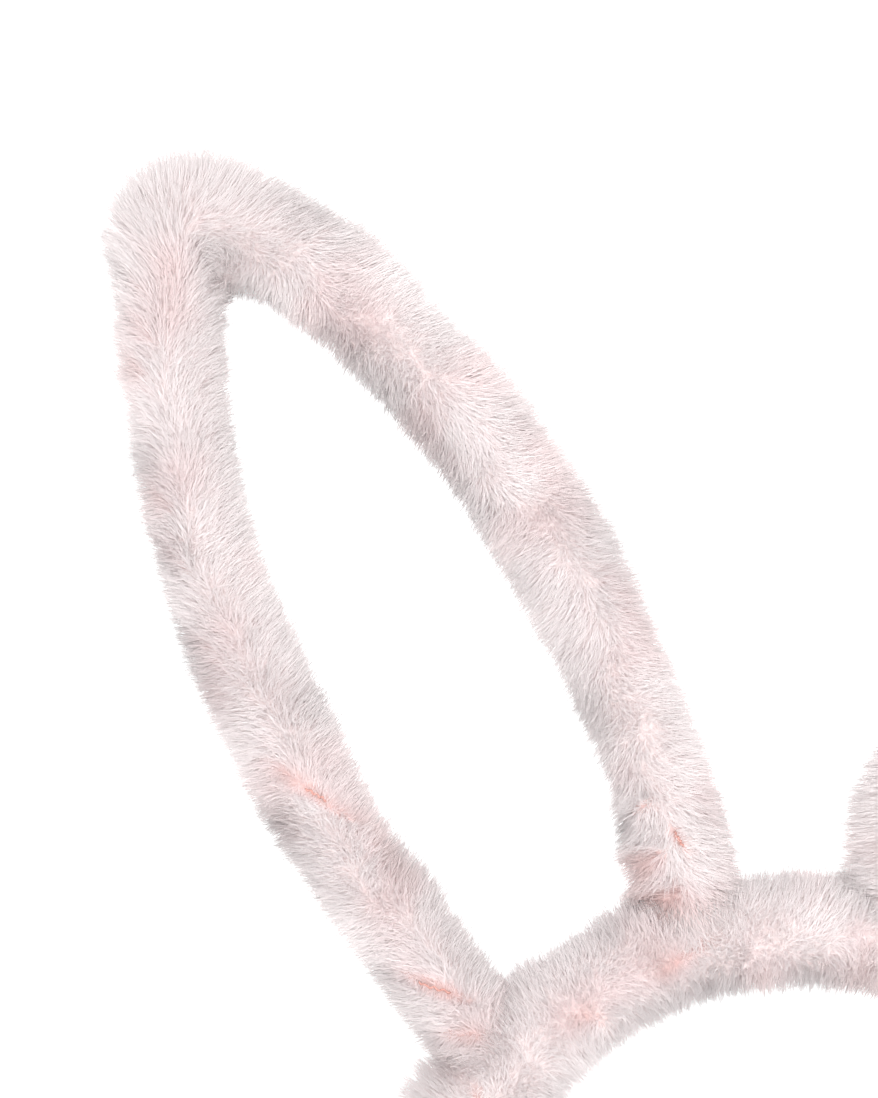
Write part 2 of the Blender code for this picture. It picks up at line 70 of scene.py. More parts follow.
# the CAD model's own lines
BAND_RADIUS = 71 * MM
CENTRE_HEIGHT = -60 * MM
LEG_BOW_RADIUS = 220 * MM
LEG_LENGTH = 66 * MM
QUARTER = BAND_RADIUS * math.pi / 2
LEG_END = QUARTER + LEG_LENGTH
LEG_HINGE = BAND_RADIUS * math.radians(62)
FOOT_ANGLES = {"outer": math.radians(51), "inner": math.radians(15.5)}
HANDLES = {
    "outer": ((85.9 * MM, 80.8 * MM), (126.4 * MM, 135 * MM)),
    "inner": ((29.7 * MM, 146 * MM), (97.7 * MM, 216.1 * MM)),
}
TIP = (119 * MM, 206 * MM)
TIP_ROUNDING = 2.5 * MM
TIP_BLEND = (15 * MM, 40 * MM)
FOLD_HEIGHT = 78 * MM
SIDES = {"left": -1, "right": 1}

# the sleeves: foam cord, knitted backing and pile
BAND_FOAM = 6.0 * MM
EAR_FOAM = 4.8 * MM
BAND_BACKING = 7.4 * MM
EAR_BACKING = 6.6 * MM
BAND_PILE = 3.7 * MM
EAR_PILE = 4.2 * MM
CREASE_DEPTH = 1.2 * MM
PILE_PER_AREA = 6.5 / MM**2
SLEEVE_RADIUS = 10.5 * MM
FIBRE_WIDTH = 0.2 * MM
TUFT_SPACING = 7.0 * MM
LOCK_SPACING = 1.6 * MM
END_PATCH_RADIUS = 9.4 * MM
END_PATCH_DEPTH = 1.3 * MM
THREAD_RADIUS = 0.22 * MM
# the pile goes on this far under the cloth of the next sleeve, and shows when an ear tilts
FOOT_OVERLAP = 1.6 * MM
# the band's pile keeps clear of this much of each limb, and at the tip, from a corner to a reach
# beyond it, each limb's pile keeps clear of the other limb
FOOT_REACH = 30 * MM
TIP_CORNER = 8 * MM
TIP_REACH = 50 * MM

# each piece crosses one joint at most
CROWN_REACH = 48 * MM
LOWER_TOP = 39 * MM
UPPER_BASE = 117 * MM
LEG_BEND = 12 * MM
ROOT_BEND = (2 * MM, 16 * MM)
FOLD_BEND = 14 * MM

# how much of a swelling the backing takes; the pile takes the rest
BULGE_IN_BACKING = 0.6
LUMP_HEIGHT = 0.3 * MM

# how a fibre lies, as shares of its upright direction: lean is round the sleeve, fall is along it
BAND_NAP = 0.05
EAR_NAP = 0.36
RISE, RISE_SPREAD = 0.9, 0.22
LEAN_WANDER, LEAN_TO_SIDE = 0.25, 0.1
RUFFLED_LEAN, RUFFLED_FALL = 0.5, 0.42
BRUSHED_SMOOTH = 0.65
CREASE_PUSH = 1.1
CREASE_FLATTENS = 0.5
CREASE_SHORTENS = 0.42

# how fibres differ from one another; a few strays are longer, thinner and join no tuft
LENGTH_SPREAD = 0.12
LENGTH_LIFT = 0.08
WIDTH_RANGE = (0.7, 1.2)
TUFT_GATHER = 0.16
LOCK_GATHER = 0.06
GATHER_LEVEL = 0.7
TIP_JITTER = 0.75 * MM
STRAY_SHARE = 0.08
STRAY_LENGTH = 1.5
STRAY_WIDTH = 0.65
STRAY_JITTER = 1.2 * MM
# how strongly the random pink spots and the painted crease shade colour the pile
BLUSH_AND_CREASE_SHADE_SHARE = 0.5
# a fibre's normals are its ground's, turned this far towards its own round shape
NORMAL_ROUNDING = 0.3

# the tubes and threads
TUBE_SPOKES = 28
RING_SPACING = 1.5 * MM
THREAD_SPOKES = 6
THREAD_RISE = 1.6 * MM
THREAD_WAVE = 0.2 * MM
THREAD_SWAY = 0.25 * MM

# the stage, in metres and watts
CAMERA_TARGET = (-0.0688, 0, 0.0846)
CAMERA_DISTANCE = 0.5864
LAMP_TARGET = (0, 0, 0.05)
LAMPS = {"key": (2.2, (0.1, -0.9, 0.0)), "fill": (2.4, (0.25, 0.95, 0.3))}
LAMP_SIZE = 0.5
FLOOR_RADIUS = 0.5
SKY_FROM = (0.4, -0.85, 0.3)
SKY_STRENGTHS = (1.52, 1.74)


def smooth(low, high, value):
    share = np.clip((value - low) / (high - low), 0, 1)
    return share * share * (3 - 2 * share)


def unit(vectors):
    return vectors / np.linalg.norm(vectors, axis=-1, keepdims=True)


def dot(first, second):
    return (first * second).sum(-1, keepdims=True)


# --- lines ---------------------------------------------------------------------------------------


class Line:
    """A smooth line in the XZ plane, read by the distance along it."""

    def __init__(self, points):
        self.points = np.array(points, float)
        steps = np.linalg.norm(np.diff(self.points, axis=0), axis=1)
        self.marks = np.concatenate([[0], np.cumsum(steps)])
        self.length = self.marks[-1]
        self.tangents = unit(np.gradient(self.points, axis=0))

    def at(self, distance):
        """Points and directions at these distances, as arrays."""
        place = np.stack([np.interp(distance, self.marks, c) for c in self.points.T], -1)
        along = np.stack([np.interp(distance, self.marks, c) for c in self.tangents.T], -1)
        return place, unit(along)

    def gap_to(self, places, start=0, end=math.inf):
        """How far these places are from the stretch of the line between two marks."""
        within = (self.marks >= start) & (self.marks <= end)
        stretch = self.points[within]
        gap = np.full(len(places), np.inf)
        for point in stretch[::2]:
            gap = np.minimum(gap, np.linalg.norm(places - point, axis=1))
        return gap


def band_line(side):
    """Half of the band: from the top of the crown down to the end of one leg."""
    points = []
    for distance in np.linspace(0, LEG_END, 240):
        if distance < QUARTER:
            turn = distance / BAND_RADIUS
            centre_x, radius = 0, BAND_RADIUS
        else:
            turn = math.pi / 2 + (distance - QUARTER) / LEG_BOW_RADIUS
            centre_x, radius = BAND_RADIUS - LEG_BOW_RADIUS, LEG_BOW_RADIUS
        x = centre_x + radius * math.sin(turn)
        points.append((side * x, 0, CENTRE_HEIGHT + radius * math.cos(turn)))
    return np.array(points)


def whole_band():
    """The band from the end of its left leg, over the crown, to the end of its right leg."""
    return Line(np.concatenate([band_line(-1)[:0:-1], band_line(1)]))


def limb_line(side, limb):
    """One limb of an ear, from its foot on the band to the tip."""
    angle = FOOT_ANGLES[limb]
    foot = (BAND_RADIUS * math.sin(angle), BAND_RADIUS * math.cos(angle))
    controls = np.array([foot, *HANDLES[limb], TIP])
    share = np.linspace(0, 1, 360)[:, None]
    rest = 1 - share
    flat = (
        rest**3 * controls[0]
        + 3 * rest**2 * share * controls[1]
        + 3 * rest * share**2 * controls[2]
        + share**3 * controls[3]
    )
    return np.stack([side * flat[:, 0], 0 * flat[:, 0], CENTRE_HEIGHT + flat[:, 1]], -1)


def ear_loop(side):
    """Up the outer limb, round the tip and down the inner limb."""
    corner = np.concatenate([limb_line(side, "outer"), limb_line(side, "inner")[-2::-1]])
    sharp = Line(corner)
    step = 0.5 * MM
    marks = np.arange(0, sharp.length, step)
    even = sharp.at(marks)[0]
    reach = int(2.5 * TIP_ROUNDING / step)
    weights = np.exp(-0.5 * (np.arange(-reach, reach + 1) * step / TIP_ROUNDING) ** 2)
    weights /= weights.sum()
    padded = np.concatenate(
        [2 * even[0] - even[reach:0:-1], even, 2 * even[-1] - even[-2 : -reach - 2 : -1]]
    )
    rounded = np.stack([np.convolve(c, weights, "valid") for c in padded.T], -1)
    near_tip = 1 - smooth(*TIP_BLEND, np.abs(marks - sharp.length / 2))[:, None]
    return Line(even * (1 - near_tip) + rounded * near_tip)


# --- patterns on a sleeve ------------------------------------------------------------------------


class Waves:
    """Smooth noise on a sleeve, from -1 to 1. It closes on itself round the line."""

    def __init__(self, seed, length, size, round_count):
        self.size = size
        self.round_count = round_count
        rows = int(length / size) + 4
        self.grid = np.random.default_rng(seed).uniform(-1, 1, (rows, round_count))

    def at(self, distance, turn):
        row = distance / self.size + 1
        column = turn / (2 * math.pi) * self.round_count
        row_low = np.clip(np.floor(row).astype(int), 0, len(self.grid) - 2)
        column_low = np.floor(column).astype(int)
        across = smooth(0, 1, row - row_low)
        around = smooth(0, 1, column - column_low)
        left, right = column_low % self.round_count, (column_low + 1) % self.round_count
        near = self.grid[row_low, left] * (1 - around) + self.grid[row_low, right] * around
        far = self.grid[row_low + 1, left] * (1 - around) + self.grid[row_low + 1, right] * around
        return near * (1 - across) + far * across


def nearest_cell(seed, length, spacing, distance, turn):
    """For each place on a sleeve, the centre (distance, turn) of the scattered cell it is in."""
    rows = int(length / spacing) + 4
    columns = max(3, round(2 * math.pi * SLEEVE_RADIUS / spacing))
    scatter = np.random.default_rng(seed).uniform(0.1, 0.9, (rows, columns, 2))
    row, column = distance / spacing + 1, turn / (2 * math.pi) * columns
    row_home, column_home = np.floor(row).astype(int), np.floor(column).astype(int)
    best = np.full(len(distance), np.inf)
    found = np.zeros((len(distance), 2))
    for row_step in (-1, 0, 1):
        for column_step in (-1, 0, 1):
            r = np.clip(row_home + row_step, 0, rows - 1)
            c = column_home + column_step
            spot = scatter[r, c % columns]
            gap = (r + spot[:, 0] - row) ** 2 + (c + spot[:, 1] - column) ** 2
            closer = gap < best
            best = np.where(closer, gap, best)
            at = (r + spot[:, 0] - 1) * spacing
            round_at = (c + spot[:, 1]) / columns * 2 * math.pi
            found = np.where(closer[:, None], np.stack([at, round_at], -1), found)
    return found[:, 0], found[:, 1]


class Crease:
    """A gathered seam across a sleeve. The pile lies away from it on both sides."""

    def __init__(self, distance, turn, reach, slant, depth=1.0, width=2.6):
        """Millimetres and degrees. slant is the crease's direction, from the line's own."""
        self.distance, self.turn, self.reach = distance * MM, math.radians(turn), reach * MM
        self.along = math.cos(math.radians(slant))
        self.around = math.sin(math.radians(slant))
        self.width, self.depth = width * MM, depth

    def pull(self, distance, turn):
        """How strongly each place is pushed off the crease, along and round, and how near it."""
        away = (turn - self.turn + math.pi) % (2 * math.pi) - math.pi
        x, y = distance - self.distance, away * SLEEVE_RADIUS
        length_way = x * self.along + y * self.around
        offset = y * self.along - x * self.around
        near = np.exp(-((offset / self.width) ** 2)) * np.exp(-((length_way / self.reach) ** 4))
        push = np.tanh(offset / (0.4 * self.width)) * near * self.depth
        return -push * self.around, push * self.along, near * self.depth

    def places(self, reach, count):
        """Distances and turns along the middle of the crease, within this reach of its centre."""
        way = np.linspace(-reach, reach, count)
        return self.distance + way * self.along, self.turn + way * self.around / SLEEVE_RADIUS


class Bulge:
    """A swelling of a sleeve round one place."""

    def __init__(self, height, distance, reach, turn=0.0, spread=math.inf):
        """Millimetres and degrees."""
        self.height, self.distance, self.reach = height * MM, distance * MM, reach * MM
        self.turn, self.spread = math.radians(turn), math.radians(spread)

    def at(self, distance, turn):
        away = (turn - self.turn + math.pi) % (2 * math.pi) - math.pi
        fade = ((distance - self.distance) / self.reach) ** 2 + (away / self.spread) ** 2
        return self.height * np.exp(-fade)


# --- the pile ------------------------------------------------------------------------------------


class Sleeve:
    """The lie of the pile on one sleeve: where a fibre that starts anywhere on it ends."""

    def __init__(self, line, outside, radius, pile, nap, seed, creases=(), bulges=()):
        self.line, self.outside = line, outside
        self.radius, self.pile, self.nap = radius, pile, nap
        self.seed, self.creases, self.bulges = seed, creases, bulges
        # each pattern's size along the line, and how many of its waves go round the sleeve
        self.lumps = Waves(seed + 6, line.length, 15 * MM, 4)
        self.sweep = Waves(seed + 1, line.length, 13 * MM, 5)
        self.swirl = Waves(seed + 2, line.length, 9 * MM, 6)
        self.lift = Waves(seed + 3, line.length, 8 * MM, 7)
        self.wander = Waves(seed + 4, line.length, 20 * MM, 1)
        # the random pink spots of the pile; grow adds the painted shade near the creases to them
        self.blush_and_crease_shade = Waves(seed + 5, line.length, 10 * MM, 6)

    def nearness(self, distance, turn):
        """How near each place is to a crease, from 0 to 1."""
        near = [crease.pull(distance, turn)[2] for crease in self.creases]
        return np.max(near, axis=0) if near else np.zeros(len(distance))

    def frame_at(self, distance, turn):
        """The line's point, its direction, and the outward and sideways directions there.

        turn is 0 at the front and grows towards the outer side of the line.
        """
        place, along = self.line.at(distance)
        across = self.outside * np.cross(along, FRONT)
        cosine = np.cos(turn)[..., None] + 0 * along[:, :1]
        sine = np.sin(turn)[..., None] + 0 * along[:, :1]
        return place, along, cosine * FRONT + sine * across, cosine * across - sine * FRONT

    def stretching(self, distance, turn):
        """How far the surface is drawn out along the line: more outside a bend, less inside it."""
        step = 0.5 * MM
        ends = []
        for shift in (-step, step):
            place, _, outward, _ = self.frame_at(distance + shift, turn)
            ends.append(place + outward * SLEEVE_RADIUS)
        return np.linalg.norm(ends[1] - ends[0], axis=1) / (2 * step)

    def ground(self, distance, turn):
        """The places on the backing where fibres start."""
        place, _, outward, _ = self.frame_at(distance, turn)
        return place + outward * self.radius_at(distance, turn)[:, None]

    def radius_at(self, distance, turn):
        radius = self.radius + LUMP_HEIGHT * (1 + self.lumps.at(distance, turn))
        for crease in self.creases:
            radius = radius - CREASE_DEPTH * crease.pull(distance, turn)[2]
        for bulge in self.bulges:
            radius = radius + BULGE_IN_BACKING * bulge.at(distance, turn)
        return np.maximum(radius, self.radius - CREASE_DEPTH)

    def tip_of(self, distance, turn, length):
        """The roots and the tips of fibres of this length."""
        place, along, outward, sideways = self.frame_at(distance, turn)
        # the pile is ruffled most on the side that it was brushed away from, and stands
        # straighter where a bend draws it out
        drawn = np.clip(self.stretching(distance, turn), 1, 3)
        ruffle = (1 - BRUSHED_SMOOTH * smooth(0, 0.9, outward[:, 0])) / drawn
        lean = LEAN_WANDER * self.wander.at(distance, 0 * turn) + LEAN_TO_SIDE * np.sin(turn)
        lean = lean + RUFFLED_LEAN * ruffle * self.swirl.at(distance, turn)
        fall = self.nap + RUFFLED_FALL * ruffle * self.sweep.at(distance, turn)
        rise = RISE + RISE_SPREAD * self.lift.at(distance, turn)
        short = 1 + LENGTH_LIFT * self.lift.at(distance, turn)
        for crease in self.creases:
            push_along, push_round, near = crease.pull(distance, turn)
            fall = fall * (1 - near) + CREASE_PUSH * push_along
            lean = lean * (1 - near) + CREASE_PUSH * push_round
            rise = rise * (1 - CREASE_FLATTENS * near)
            short = short * (1 - CREASE_SHORTENS * near)
        for bulge in self.bulges:
            short = short + (1 - BULGE_IN_BACKING) * bulge.at(distance, turn) / self.pile
        way = unit(outward * rise[:, None] + sideways * lean[:, None] + along * fall[:, None])
        root = place + outward * self.radius_at(distance, turn)[:, None]
        return root, root + way * (length * short)[:, None]


def grow(sleeve, start, end, seed, allowed):
    """The fibres between two marks of a sleeve: roots, tips, outward directions and looks.

    allowed says which of the places on the backing can carry a fibre.
    """
    density = PILE_PER_AREA * 1
    most = float(sleeve.stretching(np.linspace(start, end, 400), math.pi / 2).max())
    count = int((end - start) * 2 * math.pi * SLEEVE_RADIUS * density * most)
    chance = np.random.default_rng(seed)
    distance = chance.uniform(start, end, count)
    turn = chance.uniform(-math.pi, math.pi, count)
    order = np.argsort(distance)
    distance, turn = distance[order], turn[order]
    even = chance.random(count) * most < sleeve.stretching(distance, turn)
    kept = allowed(sleeve.ground(distance, turn), distance) & even
    distance, turn = distance[kept], turn[kept]
    count = len(distance)
    length = sleeve.pile * chance.normal(1, LENGTH_SPREAD, count)
    stray = chance.random(count) < STRAY_SHARE
    length = np.where(stray, length * STRAY_LENGTH, length)

    root, tip = sleeve.tip_of(distance, turn, length)
    outward = sleeve.frame_at(distance, turn)[2]
    usual = np.full(count, sleeve.pile)
    for spacing, gather in ((TUFT_SPACING, TUFT_GATHER), (LOCK_SPACING, LOCK_GATHER)):
        at, round_at = nearest_cell(sleeve.seed + 7, sleeve.line.length, spacing, distance, turn)
        shift = (sleeve.tip_of(at, round_at, usual)[1] - tip) * gather
        shift -= outward * dot(shift, outward) * GATHER_LEVEL
        tip = tip + np.where(stray[:, None], 0, shift)
    jitter = np.where(stray, STRAY_JITTER, TIP_JITTER)[:, None]
    tip = tip + chance.normal(0, 1, (count, 3)) * jitter
    width = np.where(stray, STRAY_WIDTH, 1) * chance.uniform(*WIDTH_RANGE, count)
    # random pink spots, plus painted shade: the pile's colour darkens towards each crease
    blush_and_crease_shade = BLUSH_AND_CREASE_SHADE_SHARE * (sleeve.blush_and_crease_shade.at(distance, turn) + sleeve.nearness(distance, turn))
    return [root, tip, outward, width, chance.random(count), blush_and_crease_shade]


def grow_end(sleeve, mark, onward, seed):
    """The fibres on the round patch that closes a sleeve at one of its ends, and on its rim.

    onward is 1 where the line leaves the sleeve at that end, and -1 where it enters.
    """
    density = PILE_PER_AREA * 1
    face_count = int(math.pi * END_PATCH_RADIUS**2 * density)
    rim_count = int(2 * math.pi * END_PATCH_RADIUS * 2 * END_PATCH_DEPTH * density)
    count = face_count + rim_count
    chance = np.random.default_rng(seed)
    share = np.sqrt(chance.random(count))
    depth = np.full(count, END_PATCH_DEPTH)
    share[face_count:] = 1
    depth[face_count:] = chance.uniform(-1, 1, rim_count) * END_PATCH_DEPTH
    turn = chance.uniform(-math.pi, math.pi, count)
    place, along, spoke, _ = sleeve.frame_at(np.full(count, mark), turn)
    out, rim, depth = along * onward, share[:, None], depth[:, None]
    root = place + out * depth + spoke * rim * END_PATCH_RADIUS
    # the fibres face straight out at the middle, and turn outwards to meet the sleeve's own
    facing = unit(out * (1.2 - 0.5 * rim**4) + spoke * 1.3 * rim**2)
    way = unit(facing + chance.normal(0, 0.16, (count, 3)))
    length = sleeve.pile * chance.normal(1, LENGTH_SPREAD, count)[:, None] * (1 - 0.3 * rim**2)
    width = chance.uniform(*WIDTH_RANGE, count)
    blush_and_crease_shade = BLUSH_AND_CREASE_SHADE_SHARE * sleeve.blush_and_crease_shade.at(np.full(count, mark), turn)
    return [root, root + way * length, facing, width, chance.random(count), blush_and_crease_shade]


def pile_mesh(name, fibres, seed, material):
    """One mesh of fine three-sided spikes, one for each fibre."""
    root, tip, outward, thickness, tone, blush_and_crease_shade = fibres
    count = len(root)
    chance = np.random.default_rng(seed)
    run = unit(tip - root)
    side = unit(np.cross(run, outward + 0.05 * FRONT))
    face = np.cross(side, run)
    roll = chance.uniform(0, 2 * math.pi, count)
    width = FIBRE_WIDTH * thickness[:, None]
    spokes = []
    for third in range(3):
        angle = (roll + third * 2 * math.pi / 3)[:, None]
        spokes.append(side * np.cos(angle) + face * np.sin(angle))
    points = np.stack([root + spoke * width / 2 for spoke in spokes] + [tip], 1)
    rounded = [unit(outward + NORMAL_ROUNDING * spoke) for spoke in spokes]
    normals = np.stack(rounded + [outward], 1)

    first = np.arange(count)[:, None] * 4
    corners = (first + np.array([[1, 0, 3, 2, 1, 3, 0, 2, 3]])).ravel()
    mesh = bpy.data.meshes.new(name)
    mesh.vertices.add(count * 4)
    mesh.vertices.foreach_set("co", points.reshape(-1).astype(np.float32))
    mesh.loops.add(len(corners))
    mesh.loops.foreach_set("vertex_index", corners.astype(np.int32))
    mesh.polygons.add(count * 3)
    mesh.polygons.foreach_set("loop_start", np.arange(0, count * 9, 3, dtype=np.int32))
    mesh.update(calc_edges=True)
    for label, values in (
        ("fibre_height", np.tile([0.0, 0.0, 0.0, 1.0], count)),
        ("fibre_tone", np.repeat(tone, 4)),
        ("fibre_blush_and_crease_shade", np.repeat(blush_and_crease_shade, 4)),
    ):
        layer = mesh.attributes.new(label, "FLOAT", "POINT")
        layer.data.foreach_set("value", values.astype(np.float32))

    # a texture layout: a square grid with a cell for each fibre, which stands upright in it
    columns = math.ceil(math.sqrt(count))
    cell = np.arange(count)
    spots = np.tile([[0.15, 0.1], [0.85, 0.1], [0.5, 0.9]], (3, 1))
    grid = (np.stack([cell % columns, cell // columns], -1)[:, None] + spots) / columns
    layout = mesh.uv_layers.new(name="OFBake")
    layout.data.foreach_set("uv", grid.reshape(-1).astype(np.float32))

    mesh.shade_smooth()
    mesh.normals_split_custom_set_from_vertices(normals.reshape(-1, 3).astype(np.float32))
    return add_piece(name, mesh, material)


def add_piece(name, mesh, material):
    mesh.materials.append(material)
    piece = bpy.data.objects.new(name, mesh)
    bpy.context.scene.collection.objects.link(piece)
    return piece


# --- materials -----------------------------------------------------------------------------------


def new_material(name, roughness, metallic=0.0, sheen=0.0):
    material = bpy.data.materials.new(name)
    material.use_nodes = True
    shader = material.node_tree.nodes["Principled BSDF"]
    shader.inputs["Roughness"].default_value = roughness
    shader.inputs["Metallic"].default_value = metallic
    shader.inputs["Sheen Weight"].default_value = sheen
    return material, material.node_tree, shader


def add_node(tree, kind, **values):
    node = tree.nodes.new(kind)
    for name, value in values.items():
        if name in node.inputs:
            node.inputs[name].default_value = value
        else:
            setattr(node, name, value)
    return node


def ramp(tree, source, stops):
    """A colour ramp on a value, from (place, colour) stops."""
    node = tree.nodes.new("ShaderNodeValToRGB")
    elements = node.color_ramp.elements
    while len(elements) < len(stops):
        elements.new(0.5)
    for element, (place, colour) in zip(elements, stops):
        element.position = place
        element.color = (*colour, 1)
    tree.links.new(source, node.inputs["Fac"])
    return node.outputs["Color"]


def mix(tree, share, first, second, mode="MIX"):
    node = tree.nodes.new("ShaderNodeMix")
    node.data_type = "RGBA"
    node.blend_type = mode
    for socket, value in (("Factor", share), ("A", first), ("B", second)):
        found = [s for s in node.inputs if s.name == socket and s.enabled][0]
        if isinstance(value, (int, float)):
            found.default_value = value
        elif isinstance(value, tuple):
            found.default_value = (*value, 1)
        else:
            tree.links.new(value, found)
    return [s for s in node.outputs if s.enabled][0]


def noise(tree, scale, detail=3.0, stretch=(1.0, 1.0, 1.0)):
    """Noise in the object's own space, from about 0.3 to 0.7."""
    place = tree.nodes.new("ShaderNodeTexCoord")
    drawn_out = add_node(tree, "ShaderNodeMapping", Scale=stretch)
    node = add_node(tree, "ShaderNodeTexNoise", Scale=scale, Detail=detail)
    tree.links.new(place.outputs["Object"], drawn_out.inputs["Vector"])
    tree.links.new(drawn_out.outputs["Vector"], node.inputs["Vector"])
    return node.outputs["Fac"]


def weave(tree, per_metre):
    """Threads that cross at right angles, as a height from 0 to 1."""
    place = tree.nodes.new("ShaderNodeTexCoord").outputs["Object"]
    crossed = []
    for direction in ("X", "Z"):
        wave = add_node(
            tree, "ShaderNodeTexWave", bands_direction=direction, Scale=per_metre, Distortion=1.5
        )
        tree.links.new(place, wave.inputs["Vector"])
        crossed.append(wave.outputs["Fac"])
    higher = add_node(tree, "ShaderNodeMath", operation="MAXIMUM")
    for socket, value in zip(higher.inputs, crossed):
        tree.links.new(value, socket)
    return higher.outputs["Value"]


def add_bump(tree, shader, height, strength, depth):
    bump = add_node(tree, "ShaderNodeBump", Strength=strength, Distance=depth)
    tree.links.new(height, bump.inputs["Height"])
    tree.links.new(bump.outputs["Normal"], shader.inputs["Normal"])


def pile_material():
    """Fibres that are pinker at the root and pale at the tip, in soft pink spots, with painted
    shade that darkens them towards the creases.
    """
    material, tree, shader = new_material("plush_pile", roughness=0.75, sheen=0.2)
    height, tone, blush_and_crease_shade = (
        add_node(tree, "ShaderNodeAttribute", attribute_name=f"fibre_{name}").outputs["Fac"]
        for name in ("height", "tone", "blush_and_crease_shade")
    )
    along = ramp(
        tree,
        height,
        [(0.0, (0.96, 0.84, 0.84)), (0.5, (0.965, 0.885, 0.885)), (1.0, (0.965, 0.905, 0.90))],
    )
    # the darkest, salmon stop is reached only near creases: painted crease shade
    patches_and_crease_shade = ramp(
        tree,
        blush_and_crease_shade,
        [(0.0, (1.0, 1.0, 1.0)), (0.35, (0.985, 0.93, 0.93)), (0.75, (0.84, 0.68, 0.66))],
    )
    fibres = ramp(tree, tone, [(0.0, (0.98, 0.95, 0.95)), (0.4, (1.0, 1.0, 1.0))])
    patched = mix(tree, 1.0, along, patches_and_crease_shade, "MULTIPLY")
    tree.links.new(mix(tree, 1.0, patched, fibres, "MULTIPLY"), shader.inputs["Base Color"])
    return material


def grained(name, dark, light, scale, roughness, metallic=0.0, stretch=(1.0, 1.0, 1.0)):
    """A material with a fine grain in its colour, its polish and its surface."""
    material, tree, shader = new_material(name, roughness, metallic)
    grain = noise(tree, scale, 6.0, stretch)
    tree.links.new(ramp(tree, grain, [(0.35, dark), (0.65, light)]), shader.inputs["Base Color"])
    polish = [max(0.0, roughness - 0.08), min(1.0, roughness + 0.08)]
    stops = [(0.3, (polish[0],) * 3), (0.7, (polish[1],) * 3)]
    tree.links.new(ramp(tree, grain, stops), shader.inputs["Roughness"])
    add_bump(tree, shader, grain, 0.25, 0.0001)
    return material


def woven(name, dark, light, per_metre, crease_shade=(1.0, 1.0, 1.0)):
    """Cloth of crossing threads, with painted shade between them, and painted shade, darker and
    redder, where a crease draws it in.
    """
    material, tree, shader = new_material(name, roughness=0.9)
    threads = weave(tree, per_metre)
    # painted shade: the cloth turns darker and redder towards a crease
    depth = add_node(tree, "ShaderNodeAttribute", attribute_name="crease_depth").outputs["Fac"]
    painted_crease_shade = ramp(tree, depth, [(0.05, (1.0, 1.0, 1.0)), (0.6, crease_shade)])
    # painted shade: the cloth is darker where the threads are low, between them
    cloth = ramp(tree, threads, [(0.2, dark), (0.8, light)])
    tree.links.new(mix(tree, 1.0, cloth, painted_crease_shade, "MULTIPLY"), shader.inputs["Base Color"])
    add_bump(tree, shader, threads, 0.5, 0.0002)
    return material


def foam_material():
    """Open foam: round pores in a creamy ground, with painted shade darkening the pores."""
    material, tree, shader = new_material("foam", roughness=0.9)
    place = tree.nodes.new("ShaderNodeTexCoord").outputs["Object"]
    cells = add_node(tree, "ShaderNodeTexVoronoi", Scale=1800.0)
    tree.links.new(place, cells.inputs["Vector"])
    pores = cells.outputs["Distance"]
    # painted shade: darker in the pores, where the bump is lowest
    colours = ramp(tree, pores, [(0.05, (0.78, 0.72, 0.66)), (0.4, (0.93, 0.9, 0.85))])
    tree.links.new(colours, shader.inputs["Base Color"])
    add_bump(tree, shader, pores, 0.6, 0.0003)
    return material


def thread_material():
    """Twisted salmon thread."""
    material, tree, shader = new_material("seam_thread", roughness=0.6, sheen=0.2)
    twist = noise(tree, 3000.0)
    colours = ramp(tree, twist, [(0.35, (0.52, 0.24, 0.2)), (0.65, (0.66, 0.36, 0.31))])
    tree.links.new(colours, shader.inputs["Base Color"])
    add_bump(tree, shader, twist, 0.5, 0.0001)
    return material


# --- pieces --------------------------------------------------------------------------------------


def tube_mesh(name, rings, material, closed=False):
    """A tube through rings of points, each ring an array of as many points."""
    spokes = len(rings[0])
    faces = []
    for ring in range(len(rings) - 1):
        near, far = ring * spokes, (ring + 1) * spokes
        for spoke in range(spokes):
            following = (spoke + 1) % spokes
            faces.append((near + spoke, far + spoke, far + following, near + following))
    if closed:
        last = (len(rings) - 1) * spokes
        faces.append(tuple(range(spokes)))
        faces.append(tuple(range(last + spokes - 1, last - 1, -1)))
    mesh = bpy.data.meshes.new(name)
    mesh.from_pydata(np.concatenate(rings).tolist(), [], faces)
    mesh.shade_smooth()
    return add_piece(name, mesh, material)


def sleeve_tube(name, sleeve, start, end, material, radius=None):
    """The backing between two marks of a sleeve, or a plain cord of this radius inside it."""
    turn = np.arange(TUBE_SPOKES) * 2 * math.pi / TUBE_SPOKES
    rings, sunk = [], []
    for mark in np.linspace(start, end, max(4, int((end - start) / RING_SPACING))):
        distance = np.full(TUBE_SPOKES, mark)
        place, _, outward, _ = sleeve.frame_at(distance, turn)
        reach = sleeve.radius_at(distance, turn)[:, None] if radius is None else radius
        rings.append(place + outward * reach)
        # how near each ring point is to a crease; the backing's material darkens these places as
        # painted crease shade
        sunk.append(sleeve.nearness(distance, turn))
    piece = tube_mesh(name, rings, material, closed=radius is not None)
    depth = piece.data.attributes.new("crease_depth", "FLOAT", "POINT")
    depth.data.foreach_set("value", np.concatenate(sunk).astype(np.float32))
    return piece


